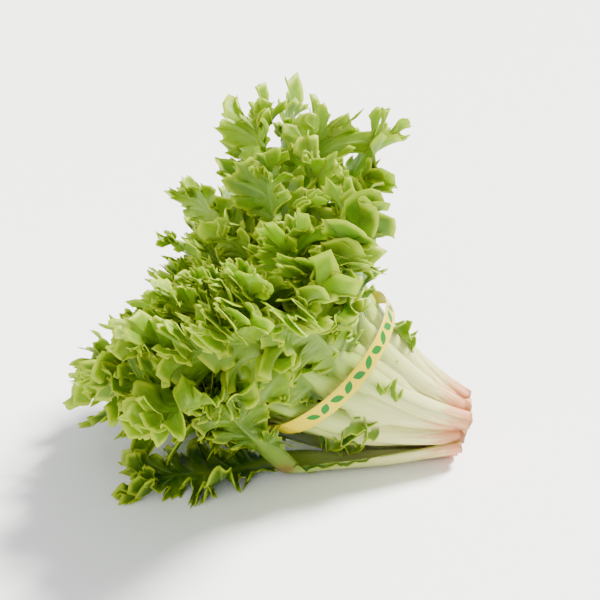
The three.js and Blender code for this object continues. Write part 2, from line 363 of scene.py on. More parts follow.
class LooseSurface:
    """The gently cupped ribbon that a loose leaf follows, from its knots."""

    BEYOND = 45  # how far past the tip it can be read
    CUP_START = 40  # where the stalk's flat ribbon begins to cup
    CUP_RISE = 60
    FLAT = 1000.0  # a radius so large that it never narrows the blade

    def __init__(self, leaf):
        self.s = np.arange(0, leaf.length + self.BEYOND, 1.0)
        knots = np.array(leaf.knots, float)
        k = np.clip(np.searchsorted(knots[:, 0], self.s, side="left") - 1, 0, len(knots) - 2)
        share = smooth((self.s - knots[k, 0]) / (knots[k + 1, 0] - knots[k, 0]))[:, None]
        pitch, heading, roll = np.radians(lerp(knots[k, 1:], knots[k + 1, 1:], share)).T
        level_part = -np.cos(pitch)
        self.along = np.stack(
            [level_part * np.cos(heading), level_part * np.sin(heading), np.sin(pitch)], axis=1
        )
        level = np.stack([-np.sin(heading), np.cos(heading), np.zeros_like(pitch)], axis=1)
        up = np.cross(level, self.along)
        turn = roll[:, None]
        self.side = level * np.cos(turn) + up * np.sin(turn)
        self.inner = up * np.cos(turn) - level * np.sin(turn)
        root = head_point(np.array(float(LOOSE_START)), LOOSE_RADIUS, math.radians(leaf.azimuth))
        steps = np.vstack([np.zeros(3), self.along[:-1]])
        self.middle = root + np.cumsum(steps, axis=0)

    def read(self, table, s):
        """Sampled vectors between their samples."""
        return np.stack([np.interp(s, self.s, table[:, c]) for c in range(3)], axis=-1)

    def radius(self, s):
        return np.full_like(s, self.FLAT)

    def place(self, s, x, lift):
        """Points s along the leaf, x to its side and lifted outwards, with the outward direction."""
        inner = self.read(self.inner, s)
        cup = (LOOSE_CUP * x * x * smooth((s - self.CUP_START) / self.CUP_RISE))[..., None]
        below = np.minimum(s, 0)[..., None] * self.read(self.along, s)
        point = self.read(self.middle, s) + below + self.read(self.side, s) * x[..., None]
        return point + inner * cup - inner * lift[..., None], -inner


# ---- One leaf's shape ----
RIB_RINGS = np.array([0.0, 0.18, 0.36, 0.54, 0.72, 0.88, 1.0])  # shares of the rib's half width
BLADE_RINGS = (np.arange(1, 10) / 9) ** 0.8  # from the rib to the margin
STEEPEST = math.radians(84)  # no part of a blade turns over and hides its own margin
TIP_FAN = 0.78  # share of the blade's rays after which they fan out round the tip
NECK_WIDTH = 0.92  # of the stalk's half width, where the blade begins
FULL_TURN = 2 * math.pi
PHASE = 6.28  # a drawn value times this is a phase
RANDOM_COUNT = 240  # values drawn for each side of a leaf
TEETH_DRAWS = slice(10, 90)  # the ones that set the lengths of its teeth
FINE_DRAWS = slice(90, None)
TEETH_START = 40  # keeps the number of a tooth positive
FLOOR_REACH = 2.1  # a surface lower than this is pressed flat towards the floor
FLOOR_GAP = 0.42  # and comes no closer than this
LOWEST = 0.02  # no point of a leaf is lower than this
SKIN = 0.2  # half the thickness of a blade
MAP_SIDE = 0.02  # of the unrolled map's width, left at each side for the cut base
MAP_EDGE = 0.01  # of its height, left free above, below and on both sides of the middle


def teeth(phase, lengths, sharp):
    """Narrow pointed teeth with wide round bays between them, each tooth with its own length."""
    length = 0.5 + 0.8 * lengths[np.round(phase).astype(int) % len(lengths)]
    return np.abs(2 * (phase % 1) - 1) ** sharp * length


def ray_starts(leaf, shape):
    """Where the rays leave the midrib, up the stalk and then up the blade, and how far they lean."""
    on_stalk = np.linspace(0, 1, shape.stalk_rays, endpoint=False)
    on_blade = np.linspace(0, 1, shape.rays)
    # The rib: a broad stalk that narrows to nothing at the tip.
    stalk_s = lerp(leaf.base, leaf.neck, on_stalk)
    stalk_half = leaf.stalk * lerp(0.52, NECK_WIDTH, smooth(stalk_s / leaf.neck))
    rib = np.concatenate([stalk_half, lerp(0.8, NECK_WIDTH * leaf.stalk, (1 - on_blade) ** 8)])
    tip = 0.8 * leaf.blade + 9  # the teeth and the curled lobes reach further
    climb = 1 - (1 - np.minimum(on_blade / TIP_FAN, 1)) ** 1.35
    s = np.concatenate([stalk_s, leaf.neck + (leaf.length - leaf.neck - tip) * climb])
    p = np.concatenate([np.zeros(shape.stalk_rays), on_blade])
    grow = smooth(p / 0.09)
    lean = math.radians(90) * (1 - np.clip((p - 0.35) / 0.65, 0, 1) ** 1.25) - 0.5 * grow * (1 - p)
    return SimpleNamespace(p=p, s=s, stalk_s=stalk_s, rib=rib, grow=grow, lean=lean)


def outline(leaf, shape, ray, random):
    """The blade's width: an envelope, cut into lobes and their parts, with teeth of two sizes on it."""
    p = ray.p
    phase = PHASE * random
    room = np.maximum(1.3 * leaf.surface.radius(ray.s) - ray.rib, 4.0)
    room = lerp(room, 99.0, smooth((p - 0.6) / 0.2))
    envelope = lerp(1.0, leaf.blade - ray.rib, smooth(p / 0.17)) * lerp(1.0, 0.8, smooth((p - 0.6) / 0.4))
    envelope = (envelope**-6.0 + room**-6.0) ** (-1 / 6)

    uneven = 0.22 * np.sin(FULL_TURN * (p * 2.3 + random[0])) * np.sin(math.pi * p)
    lobe = (shape.lobes + 0.5) * p + uneven
    part = shape.parts * lobe + 0.35 * np.sin(7.0 * p + phase[8])
    tooth = shape.teeth * part + 0.25 * np.sin(19.0 * p + phase[2])
    crest = np.abs(np.sin(math.pi * lobe)) ** 0.7
    part_crest = np.abs(np.sin(math.pi * part)) ** 0.6
    longer = 1 + 0.22 * np.sin(FULL_TURN * (lobe * 0.37 + random[1]))
    width = envelope * (1 - shape.cut * (1 - crest)) * (1 - shape.part_cut * (1 - part_crest)) * longer

    size = shape.tooth * (0.5 + 0.5 * crest) * smooth(p / 0.06)
    size = size * (1 - 0.55 * smooth((p - 0.78) / 0.15))
    large = teeth(tooth + TEETH_START, random[TEETH_DRAWS], 2.3)
    fine = teeth(tooth * 2.37 + TEETH_START, random[FINE_DRAWS], 1.6)
    width = width + size * (large + 0.12 * fine)
    return SimpleNamespace(envelope=envelope, width=width, lobe=lobe, part=part, tooth=tooth)


def stalk_wing(leaf, shape, stalk_s, random):
    """The frilled wing that some stalks carry, which stops short of the band: where it is, how wide."""
    up = stalk_s / leaf.neck
    winged = smooth((up - 0.3 - 0.25 * random[9]) / 0.2) * (1 - smooth((up - 0.77) / 0.07))
    frilled = winged * (0.65 + 0.45 * teeth(stalk_s / 4.3 + TEETH_START, random[TEETH_DRAWS], 1.6))
    return winged, 0.25 + shape.wing * frilled


def ruffle(leaf, shape, ray, edge, winged, random):
    """How far out, up and along the leaf each blade ring lies.

    The blade's slope out of its own plane is summed from the rib to the margin.
    """
    q = np.concatenate([[0.0], BLADE_RINGS])
    q_mid = 0.5 * (q[1:] + q[:-1])[None, :]
    q_ring = BLADE_RINGS[None, :]
    grow = ray.grow[:, None]
    phase = PHASE * random
    turn = math.pi * edge.lobe[:, None]
    at_fold = turn * 0.82 * shape.fold_rate + phase[3]
    at_wave = turn * 1.12 + phase[4] + 1.1 * np.sin(turn * 0.46 + phase[6])
    at_part = math.pi * edge.part[:, None] + 0.8 * np.sin(turn * 1.2 + phase[5])
    at_tooth = math.pi * edge.tooth[:, None]
    fold = shape.fold * q_mid**0.7 * np.sin(at_fold)
    wave = shape.wave * q_mid**1.1 * np.sin(at_wave)
    frill = shape.frill * (q_mid**1.7 * np.sin(at_part) + 0.8 * q_mid**4 * np.sin(at_tooth))
    calm = (ray.grow * lerp(0.7, 1.0, smooth(ray.p / 0.4)))[:, None]  # less ruffle near the stalk
    slope = (fold + wave + frill) * calm + shape.cup * q_mid * grow
    slope = STEEPEST * np.tanh(slope / STEEPEST)
    on_stalk = 1.2 + 0.6 * np.sin(ray.stalk_s * 0.5 + phase[7])
    slope[: len(winged)] = on_stalk[:, None] * winged[:, None]
    piece = np.diff(q)[None, :] * edge.width[:, None]
    up = np.cumsum(np.sin(slope) * piece, axis=1)
    out = np.cumsum(np.cos(slope) * piece, axis=1)

    # The margin rolls over, and each lobe opens like a fan, and so does each of its parts.
    roll = q_ring**2 * np.cos(at_wave) + 0.7 * q_ring**3 * np.cos(at_part)
    shift = shape.roll_over * roll * calm * smooth((1 - ray.p) / 0.15)[:, None]
    in_lobe = (edge.lobe % 1)[:, None] - 0.5
    in_part = (edge.part % 1)[:, None] - 0.5
    reach_out = (out / np.maximum(edge.envelope, 1.0)[:, None]) ** 2
    opened = shape.fan * in_lobe + 0.9 * in_part * q_ring / shape.parts
    shift = shift + opened * reach_out * calm * (leaf.length - leaf.neck) / shape.lobes
    return out, up, shift


def veins(leaf, shape, ray, lobe, edge):
    """How much of each point is a vein: one up each lobe, and branches that slant off it."""
    off_vein = (np.abs(lobe % 1 - 0.5) * (leaf.length - leaf.neck) / shape.lobes)[:, None]
    main = np.exp(-((off_vein / (1.3 * (1.15 - edge))) ** 2))
    branch = (lobe[:, None] * 5 - np.sign(lobe[:, None] % 1 - 0.5) * edge * 1.6) % 1
    branches = np.exp(-(((np.abs(branch - 0.5)) / 0.1) ** 2)) * smooth(edge / 0.2)
    fading = ray.grow[:, None] * (1 - edge**3) * smooth(edge / 0.12)
    return np.clip(main + 0.5 * branches, 0, 1) * fading


def half_leaf(leaf, shape, side, random):
    """One side of a leaf in its own coordinates: s along it, x aside, lift, and what each point is."""
    ray = ray_starts(leaf, shape)
    blade = outline(leaf, shape, ray, random)
    winged, wing_width = stalk_wing(leaf, shape, ray.stalk_s, random)
    blade.width[: shape.stalk_rays] = wing_width
    out, up, shift = ruffle(leaf, shape, ray, blade, winged, random)

    flat = np.zeros((len(ray.p), len(RIB_RINGS)))
    rib = ray.rib[:, None]
    lean = ray.lean[:, None]
    distance = np.concatenate([rib * RIB_RINGS[None, :], rib + out], axis=1)
    s = ray.s[:, None] + distance * np.cos(lean) + np.concatenate([flat, shift], axis=1)
    one = np.ones_like(s)
    edge = np.concatenate([np.zeros(len(RIB_RINGS)), BLADE_RINGS])[None, :] * one
    return SimpleNamespace(
        s=s,
        x=side * distance * np.sin(lean),
        lift=np.concatenate([flat, up], axis=1),
        s0=ray.s,
        edge=edge,
        in_rib=np.concatenate([RIB_RINGS, np.ones(len(BLADE_RINGS))])[None, :] * one,
        vein=veins(leaf, shape, ray, blade.lobe, edge),
        winged=np.concatenate([winged * min(1.0, 0.12 * shape.wing), np.zeros(shape.rays)]),
    )


def leaf_sheet(leaf, shape, seed):
    """The leaf's middle surface as rays from the midrib, left base round the tip to right base."""
    rng = np.random.default_rng(seed)
    left = half_leaf(leaf, shape, -1, rng.random(RANDOM_COUNT))
    right = half_leaf(leaf, shape, 1, rng.random(RANDOM_COUNT))
    tip = left.s.shape[0] - 1
    blend = smooth((np.arange(tip + 1) - (tip - 6)) / 6)[:, None]
    joined = {"x": np.concatenate([left.x, right.x[:-1][::-1]])}
    for name in ("s", "lift", "edge", "in_rib", "vein"):
        a, b = getattr(left, name), getattr(right, name)
        middle = 0.5 * (a[tip] + b[tip])
        joined[name] = np.concatenate([lerp(a, middle, blend), lerp(b, middle, blend)[:-1][::-1]])
    for name in ("s0", "winged"):
        a = getattr(left, name)
        joined[name] = np.concatenate([a, a[:-1][::-1]])
    return SimpleNamespace(**joined, tip=tip)


def middle_surface(leaf, shape, sheet, seed):
    """The sheet laid on the leaf's surface, bent, twisted and kept off the floor."""
    u = np.clip((sheet.s - leaf.neck) / (leaf.length - leaf.neck), 0, 1.2)
    x = sheet.x + shape.sway * u**2
    held = smooth(sheet.s / (0.6 * leaf.neck)) * (1 - smooth((sheet.s - leaf.neck) / 70))
    # A stalk is a channel, with its edges turned in towards the heart.
    open_again = smooth((sheet.s - 0.85 * leaf.neck) / (0.5 * leaf.neck))
    channel = leaf.channel * sheet.in_rib**2 * (1 - open_again)
    channel = channel * (1 - sheet.winged[:, None])
    lift = sheet.lift - channel + leaf.tight * held
    lift = lift + shape.twist * sheet.x * u**1.4 + shape.tip_curl * u**3
    lift = lift + shape.wobble * np.sin(5.5 * u + seed) * u * np.cos(sheet.x / 16)
    # Veins stand a little proud of the outer face.
    lift = lift + 0.35 * sheet.vein * smooth(u / 0.1)
    point, out = leaf.surface.place(sheet.s, x, lift)
    point = point + OFFSET
    z = point[..., 2]
    rise = FLOOR_REACH - FLOOR_GAP
    pressed = FLOOR_GAP + rise * np.exp(np.minimum(z - FLOOR_REACH, 0) / rise)
    point[..., 2] = np.where(z < FLOOR_REACH, pressed, z)
    return point, out


def sheet_normals(point, out, tip):
    """Directions across the sheet, smoothed where the two sides meet at the midrib."""
    normal = np.cross(np.gradient(point, axis=0), np.gradient(point, axis=1))
    size = np.linalg.norm(normal, axis=2, keepdims=True)
    normal = np.where(size > 1e-6, normal / np.maximum(size, 1e-9), out)
    facing = np.sign(np.sum(normal[:, 1:4] * out[:, 1:4]))
    normal = normal * (facing if facing else 1.0)
    mirror = point.shape[0] - 1 - np.arange(point.shape[0])
    normal[:, 0] = normal[:, 0] + normal[mirror, 0] + 0.5 * out[:, 0]
    off_tip = smooth((np.abs(np.arange(len(point)) - tip) - 2) / 10)[:, None, None]
    normal[:, :3] = lerp(out[:, :3], normal[:, :3], off_tip)
    return normal / np.maximum(np.linalg.norm(normal, axis=2, keepdims=True), 1e-9)


def leaf_shell(leaf, shape, seed):
    """Vertices, faces, attributes and map of one closed leaf."""
    sheet = leaf_sheet(leaf, shape, seed)
    point, out = middle_surface(leaf, shape, sheet, seed)
    normal = sheet_normals(point, out, sheet.tip)

    # Thickness: a crescent stalk with ridges on its outer face, thinning into the blade.
    end = np.clip(sheet.s0 / leaf.length, 0, 1)[:, None]
    stalk = leaf.thick * lerp(1.0, 0.78, smooth(sheet.s0 / leaf.neck))[:, None]
    full = lerp(stalk, 0.5, smooth(end * 1.1))
    crown = np.sqrt(np.maximum(0, 1 - sheet.in_rib**2))
    ridges = 0.5 * np.cos(sheet.in_rib * math.pi * shape.ridges) * (full / leaf.thick) * crown**0.5
    outer = SKIN + 0.62 * full * crown**0.9 + ridges * (leaf.thick / 5)
    inner = SKIN + 0.22 * full * crown**1.6
    top = point - normal * inner[..., None]
    bottom = point + normal * outer[..., None]
    for face in (top, bottom):
        face[..., 2] = np.maximum(face[..., 2], LOWEST)
    return build_shell(leaf, sheet, top, bottom)


def shell_faces(rays, rings):
    """Quads of a shell, upper face first, and their places on the unrolled map.

    Points are numbered by ray and then ring, the upper face's before the lower one's.
    """
    count = rays * rings
    number = np.arange(count).reshape(rays, rings)
    a, b = number[:-1, :-1], number[1:, :-1]
    c, d = number[1:, 1:], number[:-1, 1:]
    upper = np.stack([a, b, c, d], axis=-1).reshape(-1, 4)
    lower = np.stack([a, d, c, b], axis=-1).reshape(-1, 4) + count
    rim_a, rim_b = number[:-1, -1], number[1:, -1]
    rim = np.stack([rim_a, rim_b, rim_b + count, rim_a + count], axis=-1)
    faces = np.concatenate([upper, lower, rim])

    k, r = np.meshgrid(np.arange(rays) / (rays - 1), np.arange(rings) / (rings - 1), indexing="ij")
    across = 0.5 - 2 * MAP_EDGE
    u = (MAP_SIDE + (1 - 2 * MAP_SIDE) * k).ravel()
    near = (MAP_EDGE + across * r).ravel()
    far = (1 - MAP_EDGE - across * r).ravel()
    on_map = np.concatenate([np.stack([u, near], axis=-1), np.stack([u, far], axis=-1)])
    uv = [on_map[faces]]

    # The two halves of the cut base are thin strips at the sides of the map.
    faces = [faces]
    ring = MAP_EDGE + across * np.arange(rings) / (rings - 1)
    v, v_next = ring[:-1], ring[1:]
    for first, second, left, right in (
        (number[0, :-1], number[0, 1:], 0.001, 0.007),
        (number[-1, 1:], number[-1, :-1], 0.993, 0.999),
    ):
        faces.append(np.stack([first, second, second + count, first + count], axis=-1))
        left, right = np.full_like(v, left), np.full_like(v, right)
        corners = np.array([[left, v], [left, v_next], [right, v_next], [right, v]])
        uv.append(corners.transpose(2, 0, 1))
    return np.concatenate(faces), np.concatenate(uv)


def build_shell(leaf, sheet, top, bottom):
    """Joins the two faces at the margin and the cut base. The midrib's points are shared."""
    rays, rings = sheet.s.shape
    count = rays * rings
    faces, uv = shell_faces(rays, rings)
    shared = np.arange(count).reshape(rays, rings)
    shared[:, 0] = np.minimum(shared[:, 0], shared[::-1, 0])
    shared = shared.ravel()
    faces = np.concatenate([shared, shared + count])[faces]

    blanched = 1 - smooth((sheet.s0 - leaf.neck * 0.5) / (0.48 * leaf.neck))[:, None]
    values = {
        "along_mm": sheet.s,
        "across_mm": sheet.x,
        "edge": sheet.edge,
        "rib": (1 - 0.4 * smooth((sheet.in_rib - 0.5) / 0.5)) * (1 - smooth(sheet.edge / 0.16)),
        "vein": sheet.vein,
        "bruise": np.exp(-(((sheet.s - leaf.crease) / CREASE_WIDTH) ** 2)),
        "stalk": np.broadcast_to(blanched, sheet.s.shape),
    }
    attributes = {name: np.tile(grid.ravel(), 2) for name, grid in values.items()}
    attributes["under"] = np.repeat([0.0, 1.0], count)
    attributes["tone"] = np.full(2 * count, leaf.tone)
    used = np.zeros(2 * count, bool)
    used[faces.ravel()] = True
    new = np.cumsum(used) - 1
    return SimpleNamespace(
        vertices=np.concatenate([top.reshape(-1, 3), bottom.reshape(-1, 3)])[used],
        faces=new[faces],
        attributes={name: grid[used] for name, grid in attributes.items()},
        uv=uv,
    )


def tube_faces(rows, cols):
    """Quads along a tube of point rings, and strips of quads that close its two ends."""
    number = np.arange(rows * cols).reshape(rows, cols)
    after = np.roll(number, -1, axis=1)
    sides = np.stack([number[:-1], after[:-1], after[1:], number[1:]], axis=-1).reshape(-1, 4)
    k = np.arange(cols // 2 - 1)
    strip = np.stack([k, k + 1, cols - 2 - k, cols - 1 - k], axis=-1)
    return np.concatenate([sides, number[0][strip[:, ::-1]], number[-1][strip]])


# ---- Meshes and materials ----
def new_object(name, data):
    """An object of that data, linked into the scene."""
    holder = bpy.data.objects.new(name, data)
    bpy.context.scene.collection.objects.link(holder)
    return holder


def mesh_object(name, vertices, faces, attributes=None, uv=None):
    """A smooth mesh object from arrays, in millimetres, with its faces pointing outwards."""
    corner = vertices[faces]
    volume = np.einsum("ij,ij->i", corner[:, 0], np.cross(corner[:, 1], corner[:, 2])).sum()
    volume += np.einsum("ij,ij->i", corner[:, 0], np.cross(corner[:, 2], corner[:, 3])).sum()
    if volume < 0:
        faces = faces[:, ::-1]
        uv = uv[:, ::-1] if uv is not None else None
    mesh = bpy.data.meshes.new(name)
    mesh.vertices.add(len(vertices))
    mesh.vertices.foreach_set("co", (vertices * MM).astype(np.float32).ravel())
    mesh.loops.add(faces.size)
    mesh.loops.foreach_set("vertex_index", faces.astype(np.int32).ravel())
    mesh.polygons.add(len(faces))
    mesh.polygons.foreach_set("loop_start", np.arange(0, faces.size, 4, dtype=np.int32))
    mesh.update(calc_edges=True)
    mesh.polygons.foreach_set("use_smooth", np.ones(len(faces), bool))
    for key, values in (attributes or {}).items():
        attribute = mesh.attributes.new(key, "FLOAT", "POINT")
        attribute.data.foreach_set("value", values.astype(np.float32))
    if uv is not None:
        layer = mesh.uv_layers.new(name="OFBake")
        layer.data.foreach_set("uv", uv.astype(np.float32).ravel())
    mesh.validate()
    return new_object(name, mesh)


def rgb(code):
    """Linear red, green and blue of an sRGB hex colour."""
    parts = [int(code[i : i + 2], 16) / 255 for i in (1, 3, 5)]
    return tuple(c / 12.92 if c <= 0.04045 else ((c + 0.055) / 1.055) ** 2.4 for c in parts)


def add(tree, kind, inputs=(), **settings):
    """Adds a node, sets its properties, and fills or links its inputs, by name or in order.

    A node given as an input stands for its first output that is in use.
    """
    node = tree.nodes.new(kind)
    for key, value in settings.items():
        setattr(node, key, value)
    if not isinstance(inputs, dict):
        in_use = [k for k, socket in enumerate(node.inputs) if socket.enabled]
        inputs = dict(zip(in_use, inputs))
    for key, value in inputs.items():
        socket = node.inputs[key]
        if isinstance(value, bpy.types.Node):
            value = next(output for output in value.outputs if output.enabled)
        if isinstance(value, bpy.types.NodeSocket):
            tree.links.new(value, socket)
        elif socket.type == "RGBA":
            socket.default_value = (*value[:3], 1.0)
        else:
            socket.default_value = value
    return node


def new_material(name):
    """An empty material, and the function that adds a node to it."""
    material = bpy.data.materials.new(name)
    material.use_nodes = True
    material.node_tree.nodes.clear()
    return material, partial(add, material.node_tree)


def grain(size_mm, detail, roughness=0.5, distortion=0.0):
    """Noise settings for features about size_mm across, on coordinates in metres."""
    return {"Scale": 1 / (size_mm * MM), "Detail": detail, "Roughness": roughness, "Distortion": distortion}


IN_COLOUR = {"data_type": "RGBA"}
SMOOTHLY = {"interpolation_type": "SMOOTHSTEP"}
STREAKS_ACROSS = 0.00115  # stretches the stalk's streaks: about 1 mm wide
STREAKS_ALONG = 0.00006  # and about 17 mm long


# Fresh endive leaf: a thin satin skin over green tissue that light passes through. The blade is
# yellow-green, palest at its margin and veins; the stalk is nearly white, wet-looking and ridged.
def fresh_leaf(name, colours, pale):
    material, node = new_material(name)
    place = node("ShaderNodeTexCoord").outputs["Object"]
    names = ("along_mm", "across_mm", "edge", "rib", "vein", "stalk", "under", "tone", "bruise")
    along, across, edge, rib, vein, stalk, under, tone, bruise = (
        node("ShaderNodeAttribute", attribute_name=key).outputs["Fac"] for key in names
    )
    patches = node("ShaderNodeTexNoise", {"Vector": place, **grain(16, 4)})
    fine = node("ShaderNodeTexNoise", {"Vector": place, **grain(2.2, 5, 0.6)})

    # Its brightness, between the deep green and the bright one, which stand in partly for shaded and sunlit
    # blade: a tone of the leaf's own, patches, a paler edge, and painted shade that darkens the blade near
    # its base, deep in the head by the band.
    bright = node("ShaderNodeMath", (tone, 0.6, -0.5), operation="MULTIPLY_ADD")
    bright = node("ShaderNodeMath", (patches, 1.3, bright), operation="MULTIPLY_ADD")
    bright = node("ShaderNodeMath", (edge, 0.32, bright), operation="MULTIPLY_ADD")
    # Painted shade: the blade darkens towards its base, where it leaves the band deep in the head.
    base = node("ShaderNodeMapRange", (along, 95.0, 165.0, 0.3, 0.0), **SMOOTHLY)
    bright = node("ShaderNodeMath", (bright, base), operation="SUBTRACT")
    bright = node("ShaderNodeMath", (bright, 0.2 - pale), operation="SUBTRACT")
    bright = node("ShaderNodeMath", (fine, 0.25, bright), operation="MULTIPLY_ADD", use_clamp=True)
    blade = node("ShaderNodeMix", (bright, colours.deep_and_shade, colours.bright), **IN_COLOUR)
    below = node("ShaderNodeMath", (under, 0.28), operation="MULTIPLY")
    rim = node("ShaderNodeMapRange", (edge, 0.84, 1.0, 0.0, 0.65), **SMOOTHLY)
    veined = node("ShaderNodeMath", (vein, 0.42), operation="MULTIPLY")
    for share, tint in ((below, colours.underside), (rim, colours.margin), (veined, colours.vein)):
        blade = node("ShaderNodeMix", (share, blade, tint), **IN_COLOUR)

    # The stalk's green comes in towards the blade, in streaks.
    streak_x = node("ShaderNodeMath", (across, STREAKS_ACROSS), operation="MULTIPLY")
    streak_y = node("ShaderNodeMath", (along, STREAKS_ALONG), operation="MULTIPLY")
    streak_at = node("ShaderNodeCombineXYZ", (streak_x, streak_y, tone))
    streaks = node("ShaderNodeTexNoise", {"Vector": streak_at, **grain(1.0, 4, 0.55)})
    upwards = node("ShaderNodeMapRange", (along, 10.0, 130.0, -0.36, 0.6), **SMOOTHLY)
    greener = node("ShaderNodeMath", (streaks, 0.9, upwards), operation="MULTIPLY_ADD", use_clamp=True)
    flesh = node("ShaderNodeMix", (greener, colours.stalk, colours.stalk_green), **IN_COLOUR)

    # Near the cut it is blushed in streaks, then all over, and browned at the edge and at a crease.
    ragged = node("ShaderNodeTexNoise", {"Vector": place, **grain(5, 5, 0.65)})
    ragged = node("ShaderNodeMath", (ragged, 13.0), operation="MULTIPLY")
    near_cut = node("ShaderNodeMath", (along, ragged), operation="ADD")
    sore = node("ShaderNodeMapRange", (near_cut, 8.0, 62.0, 0.26, -0.2), **SMOOTHLY)
    sore = node("ShaderNodeMath", (streaks, sore), operation="ADD")
    sore = node("ShaderNodeMapRange", (sore, 0.55, 0.8, 0.0, 0.75), **SMOOTHLY)
    blushed = node("ShaderNodeMapRange", (near_cut, 7.0, 22.0, 0.85, 0.0), **SMOOTHLY)
    bruised = node("ShaderNodeMapRange", (patches, 0.35, 0.6, 0.0, 1.0), **SMOOTHLY)
    bruised = node("ShaderNodeMath", (bruise, bruised), operation="MULTIPLY")
    browned = node("ShaderNodeMapRange", (near_cut, 3.5, 7.5, 0.9, 0.0), **SMOOTHLY)
    for share, tint in (
        (sore, colours.blush),
        (blushed, colours.blush),
        (bruised, colours.cut),
        (browned, colours.cut),
    ):
        flesh = node("ShaderNodeMix", (share, flesh, tint), **IN_COLOUR)

    # Flesh shows on the rib, less so up the blade, and over the whole of the lower stalk.
    fading = node("ShaderNodeMapRange", (along, 85.0, 135.0, 1.0, 0.35), **SMOOTHLY)
    on_rib = node("ShaderNodeMath", (rib, fading), operation="MULTIPLY")
    inside = node("ShaderNodeMapRange", (edge, 0.0, 0.5, 1.0, 0.1), **SMOOTHLY)
    on_stalk = node("ShaderNodeMath", (stalk, inside), operation="MULTIPLY")
    fleshy = node("ShaderNodeMath", (on_rib, on_stalk), operation="MAXIMUM")
    colour = node("ShaderNodeMix", (fleshy, blade, flesh), **IN_COLOUR)

    # Ridges down the stalk, raised veins, and small puckers all over the blade.
    height = node("ShaderNodeMath", (fleshy, 0.9), operation="MULTIPLY")
    height = node("ShaderNodeMath", (streaks, height), operation="MULTIPLY")
    puckers = node("ShaderNodeTexNoise", {"Vector": place, **grain(3.4, 3, distortion=0.4)})
    off_flesh = node("ShaderNodeMath", (1.0, fleshy), operation="SUBTRACT")
    vein_way = node("ShaderNodeMath", (under, 0.9, -0.45), operation="MULTIPLY_ADD")
    for relief, share in ((puckers, off_flesh), (vein, vein_way), (fine, 0.25)):
        height = node("ShaderNodeMath", (relief, share, height), operation="MULTIPLY_ADD")
    bump = node("ShaderNodeBump", {"Height": height, "Strength": 0.55, "Distance": 0.0007})

    gloss = node("ShaderNodeMapRange", (fleshy, 0.0, 1.0, 0.36, 0.26), **SMOOTHLY)
    gloss = node("ShaderNodeMath", (fine, 0.22, gloss), operation="MULTIPLY_ADD")
    skin = node(
        "ShaderNodeBsdfPrincipled",
        {"Base Color": colour, "Roughness": gloss, "Normal": bump, "Specular IOR Level": 0.35},
    )
    glow = node("ShaderNodeMix", (0.5, colour, colours.glow), **IN_COLOUR)
    through = node("ShaderNodeBsdfTranslucent", {"Color": glow, "Normal": bump})
    thin = node("ShaderNodeMapRange", (fleshy, 0.0, 1.0, 0.4, 0.12), **SMOOTHLY)
    both = node("ShaderNodeMixShader", (thin, skin, through))
    node("ShaderNodeOutputMaterial", {"Surface": both})
    return material


# Cut stem end: moist pith, cream in the middle, with a browned rim of dried sap.
def cut_stem(name, colours):
    material, node = new_material(name)
    place = node("ShaderNodeTexCoord").outputs["Object"]
    radius = node("ShaderNodeAttribute", attribute_name="radius_mm").outputs["Fac"]
    rough = node("ShaderNodeTexNoise", {"Vector": place, **grain(2.5, 6, 0.65)})
    spread = node("ShaderNodeMath", (rough, 7.0, radius), operation="MULTIPLY_ADD")
    outwards = node("ShaderNodeMapRange", (spread, 9.0, 18.0, 0.0, 1.0), **SMOOTHLY)
    colour = node("ShaderNodeMix", (outwards, colours.stalk, colours.blush), **IN_COLOUR)
    rim = node("ShaderNodeMapRange", (spread, 16.5, 20.0, 0.0, 0.9), **SMOOTHLY)
    colour = node("ShaderNodeMix", (rim, colour, colours.cut), **IN_COLOUR)
    fibres = node("ShaderNodeTexNoise", {"Vector": place, **grain(0.8, 3)})
    fibres = node("ShaderNodeMath", (fibres, 0.4), operation="MULTIPLY")
    height = node("ShaderNodeMath", (fibres, rough), operation="ADD")
    bump = node("ShaderNodeBump", {"Height": height, "Strength": 0.7, "Distance": 0.0009})
    gloss = node("ShaderNodeMapRange", (rough, 0.3, 0.7, 0.32, 0.62), **SMOOTHLY)
    skin = node("ShaderNodeBsdfPrincipled", {"Base Color": colour, "Roughness": gloss, "Normal": bump})
    node("ShaderNodeOutputMaterial", {"Surface": skin})
    return material


# Coated paper tie: flat printed yellow with a faint paper tooth and a soft sheen.
def coated_paper(name, colour_low, colour_high):
    material, node = new_material(name)
    place = node("ShaderNodeTexCoord").outputs["Object"]
    fibre = node("ShaderNodeTexNoise", {"Vector": place, **grain(0.6, 4, 0.6)})
    wear = node("ShaderNodeTexNoise", {"Vector": place, **grain(9, 3)})
    worn = node("ShaderNodeMath", (wear, 0.8), operation="MULTIPLY")
    colour = node("ShaderNodeMix", (worn, colour_low, colour_high), **IN_COLOUR)
    bump = node("ShaderNodeBump", {"Height": fibre, "Strength": 0.25, "Distance": 0.0001})
    gloss = node("ShaderNodeMapRange", (wear, 0.3, 0.7, 0.34, 0.46), **SMOOTHLY)
    skin = node(
        "ShaderNodeBsdfPrincipled",
        {"Base Color": colour, "Roughness": gloss, "Normal": bump, "Specular IOR Level": 0.15},
    )
    node("ShaderNodeOutputMaterial", {"Surface": skin})
    return material


def made(maker, name, *values):
    """The material of that name, made the first time that it is wanted."""
    return bpy.data.materials.get(name) or maker(name, *values)


def finish_piece(piece, node, material):
    """Gives a piece its material, sets it to ride on the root body, and hides the solid that it stands for.
    """
    piece.data.materials.append(material)
    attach(piece, "root")
    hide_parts(node)


# ---- Settings ----
def colour_property(name, description, code):
    return FloatVectorProperty(
        name=name, description=description, subtype="COLOR", default=rgb(code), min=0, max=1
    )


def length_property(name, description, millimetres, least):
    return FloatProperty(name=name, description=description + ", mm", default=millimetres, min=least)


def slope_property(name, description, degrees):
    return FloatProperty(name=name, description=description, default=math.radians(degrees), subtype="ANGLE")


